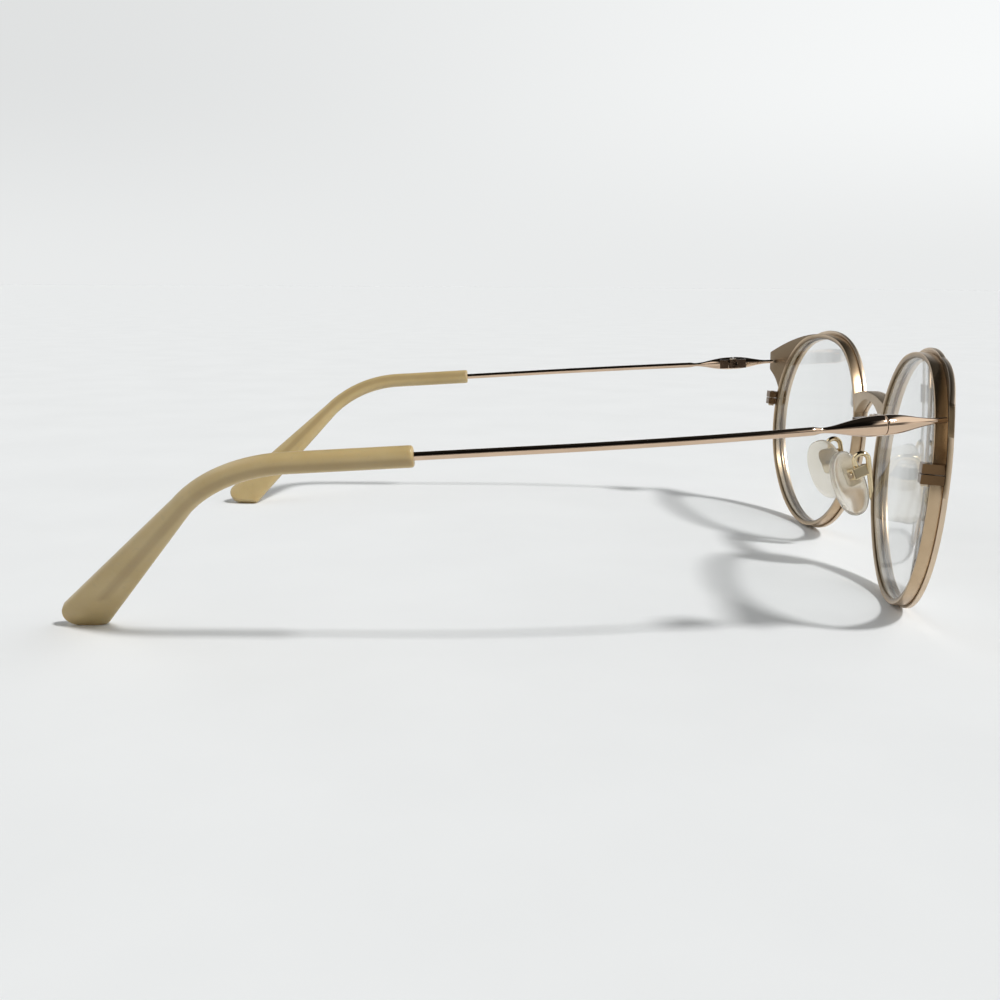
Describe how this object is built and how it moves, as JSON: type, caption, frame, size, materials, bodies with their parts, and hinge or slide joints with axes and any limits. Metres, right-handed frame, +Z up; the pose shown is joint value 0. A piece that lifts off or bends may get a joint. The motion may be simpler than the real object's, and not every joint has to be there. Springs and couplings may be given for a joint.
{
  "type": "eyeglasses",
  "caption": "Round metal eyeglasses: pressed front sheet over slim rims with clear lenses, spindle hinge barrels, wire temples with flared tips and rocking nose pads.",
  "frame": {"origin": "middle of the glasses' width and depth on the surface they stand on, with the temples open", "axes": "+Z up, +X towards the wearer's left, +Y from the front towards the temple tips"},
  "size_m": [0.1434, 0.1454, 0.0448],
  "materials": {
    "satin_gold_sheet": "satin champagne gold plate with polished edges",
    "taupe_metal": "matte taupe",
    "rim_gold": "polished gold plate",
    "clear_lens": "clear, polished",
    "dark_gold": "plated, dull",
    "screw_metal": "plated steel",
    "bright_gold": "polished pale gold plate",
    "clear_pad": "clear soft plastic, slightly yellow",
    "rose_gold": "polished rose gold plate",
    "hinge_metal": "plated, satin",
    "tip_plastic": "translucent beige, soft gloss"
  },
  "bodies": {
    "front": {"front_plate": "satin_gold_sheet", "bridge": "taupe_metal", "left_eyewire": "rim_gold", "right_eyewire": "rim_gold", "left_lens": "clear_lens", "right_lens": "clear_lens", "left_lock_upper": "dark_gold", "right_lock_upper": "dark_gold", "left_lock_lower": "dark_gold", "right_lock_lower": "dark_gold", "left_lock_screw": "screw_metal", "right_lock_screw": "screw_metal", "left_pad_arm": "bright_gold", "right_pad_arm": "bright_gold", "left_pad_box": "bright_gold", "right_pad_box": "bright_gold", "left_pad_screw": "screw_metal", "right_pad_screw": "screw_metal", "left_endpiece": "rose_gold", "right_endpiece": "rose_gold", "left_front_leaf": "hinge_metal", "right_front_leaf": "hinge_metal", "left_hinge_screw": "screw_metal", "right_hinge_screw": "screw_metal"},
    "left_temple_arm": {"left_temple_leaf": "hinge_metal", "left_temple": "rose_gold", "left_tip": "tip_plastic"},
    "right_temple_arm": {"right_temple_leaf": "hinge_metal", "right_temple": "rose_gold", "right_tip": "tip_plastic"},
    "left_pad": {"left_nose_pad": "clear_pad"},
    "right_pad": {"right_nose_pad": "clear_pad"}
  },
  "joints": [
    {"name": "left_fold", "type": "hinge", "parent": "front", "child": "left_temple_arm", "pos_m": [0.0621, -0.05338, 0.03522], "axis": [0.0123, 0.0633, 0.9979], "range_deg": [0, 90]},
    {"name": "right_fold", "type": "hinge", "parent": "front", "child": "right_temple_arm", "pos_m": [-0.0621, -0.05338, 0.03522], "axis": [0.0123, -0.0633, -0.9979], "range_deg": [0, 86]},
    {"name": "left_pad_rock", "type": "hinge", "parent": "front", "child": "left_pad", "pos_m": [0.0103, -0.06599, 0.01962], "axis": [0.3857, 0.8717, -0.3023], "range_deg": [-5, 5]},
    {"name": "right_pad_rock", "type": "hinge", "parent": "front", "child": "right_pad", "pos_m": [-0.0103, -0.06599, 0.01962], "axis": [-0.3857, 0.8717, -0.3023], "range_deg": [-5, 5]}
  ]
}
